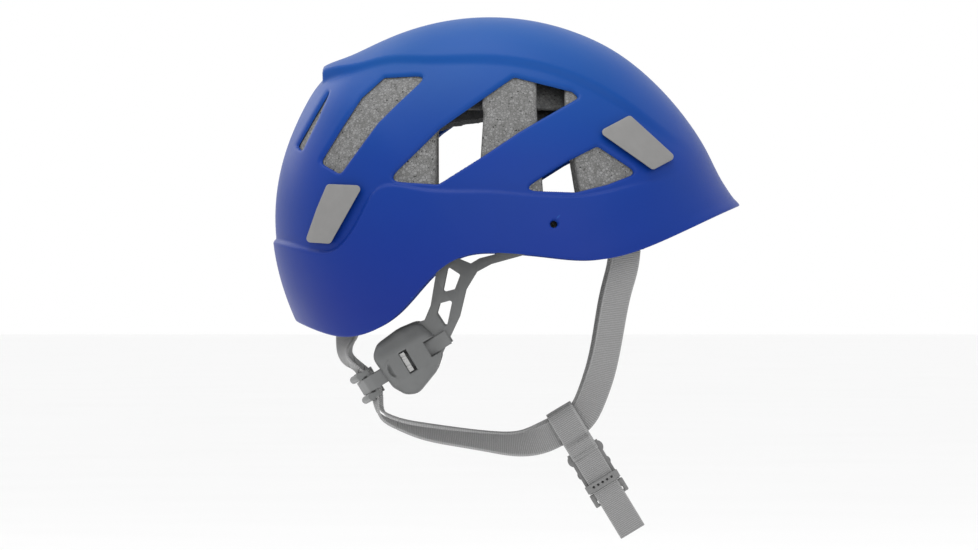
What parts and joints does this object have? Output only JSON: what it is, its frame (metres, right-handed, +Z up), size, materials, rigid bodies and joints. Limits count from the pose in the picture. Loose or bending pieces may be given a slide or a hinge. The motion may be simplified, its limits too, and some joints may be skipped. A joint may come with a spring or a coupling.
{
  "type": "climbing helmet",
  "caption": "Climbing helmet with vented moulded shell, two foam liners, lamp clips, tilting nape cradle with toothed adjusters, and webbing chin strap with side-release buckle.",
  "frame": {"origin": "centre of the head opening, level with the headband, on the middle plane", "axes": "+X to the face, +Y to the wearer's left, +Z up"},
  "size_m": [0.2754, 0.2238, 0.3046],
  "materials": {
    "shell_blue": "satin moulded plastic",
    "foam_light": "speckled bead foam, expanded polypropylene",
    "foam_dark": "speckled bead foam, expanded polystyrene",
    "pad_fabric": "brushed knit over soft foam",
    "webbing": "woven polyester webbing",
    "clip_grey": "fine satin texture",
    "buckle_grey": "fine matt texture",
    "pawl_grey": "satin",
    "grey_plastic": "matt moulded plastic"
  },
  "bodies": {
    "helmet": {"brow_band": "grey_plastic", "brow_pad": "pad_fabric", "buckle_socket": "buckle_grey", "chin_strap_left": "webbing", "chin_strap_right": "webbing", "crown_liner": "foam_dark", "crown_pad_left": "pad_fabric", "crown_pad_middle": "pad_fabric", "crown_pad_right": "pad_fabric", "lamp_clip_front_left": "clip_grey", "lamp_clip_front_right": "clip_grey", "lamp_clip_rear_left": "clip_grey", "lamp_clip_rear_right": "clip_grey", "pivot_pin_left": "grey_plastic", "pivot_pin_right": "grey_plastic", "ring_liner": "foam_light", "shell": "shell_blue", "side_strap_left": "webbing", "side_strap_right": "webbing", "strap_anchor_front_left": "grey_plastic", "strap_anchor_front_right": "grey_plastic", "strap_anchor_rear_left": "grey_plastic", "strap_anchor_rear_right": "grey_plastic"},
    "cradle": {"adjuster_housing_left": "grey_plastic", "adjuster_housing_right": "grey_plastic", "cradle_arm_left": "grey_plastic", "cradle_arm_right": "grey_plastic"},
    "nape_band": {"nape_band": "grey_plastic", "strap_keeper_left": "grey_plastic", "strap_keeper_right": "grey_plastic"},
    "pawl_right": {"adjuster_pawl_right": "pawl_grey"},
    "pawl_left": {"adjuster_pawl_left": "pawl_grey"},
    "buckle_plug": {"buckle_plug": "buckle_grey"},
    "prong_front": {"buckle_prong_front": "buckle_grey"},
    "prong_back": {"buckle_prong_back": "buckle_grey"}
  },
  "joints": [
    {"name": "cradle_tilt", "type": "hinge", "parent": "helmet", "child": "cradle", "pos_m": [0.018, 0, -0.006], "axis": [0, 1, 0], "range_deg": [-8, 4], "deforming": ["side_strap_right", "side_strap_left"]},
    {"name": "nape_slide", "type": "slide", "parent": "cradle", "child": "nape_band", "axis": [0.8572, 0, 0.515], "range_m": [-0.008, 0.0025], "deforming": ["side_strap_right", "side_strap_left"]},
    {"name": "pawl_right_press", "type": "hinge", "parent": "cradle", "child": "pawl_right", "pos_m": [-0.0552, -0.0748, -0.07752], "axis": [0.515, 0, -0.8572], "range_deg": [0, 5], "stiffness_Nm_per_rad": 0.02},
    {"name": "pawl_left_press", "type": "hinge", "parent": "cradle", "child": "pawl_left", "pos_m": [-0.0552, 0.0748, -0.07752], "axis": [-0.515, 0, 0.8572], "range_deg": [0, 5], "stiffness_Nm_per_rad": 0.02},
    {"name": "buckle_release", "type": "slide", "parent": "helmet", "child": "buckle_plug", "axis": [0.5195, 0, -0.8545], "range_m": [0, 0.03], "deforming": ["chin_strap_left", "buckle_prong_front", "buckle_prong_back"]},
    {"name": "prong_front_press", "type": "hinge", "parent": "buckle_plug", "child": "prong_front", "pos_m": [0.06559, -0.04945, -0.14632], "axis": [0, -1, 0], "range_deg": [0, 8], "stiffness_Nm_per_rad": 0.02},
    {"name": "prong_back_press", "type": "hinge", "parent": "buckle_plug", "child": "prong_back", "pos_m": [0.05636, -0.04945, -0.15193], "axis": [0, 1, 0], "range_deg": [0, 8], "stiffness_Nm_per_rad": 0.02}
  ]
}
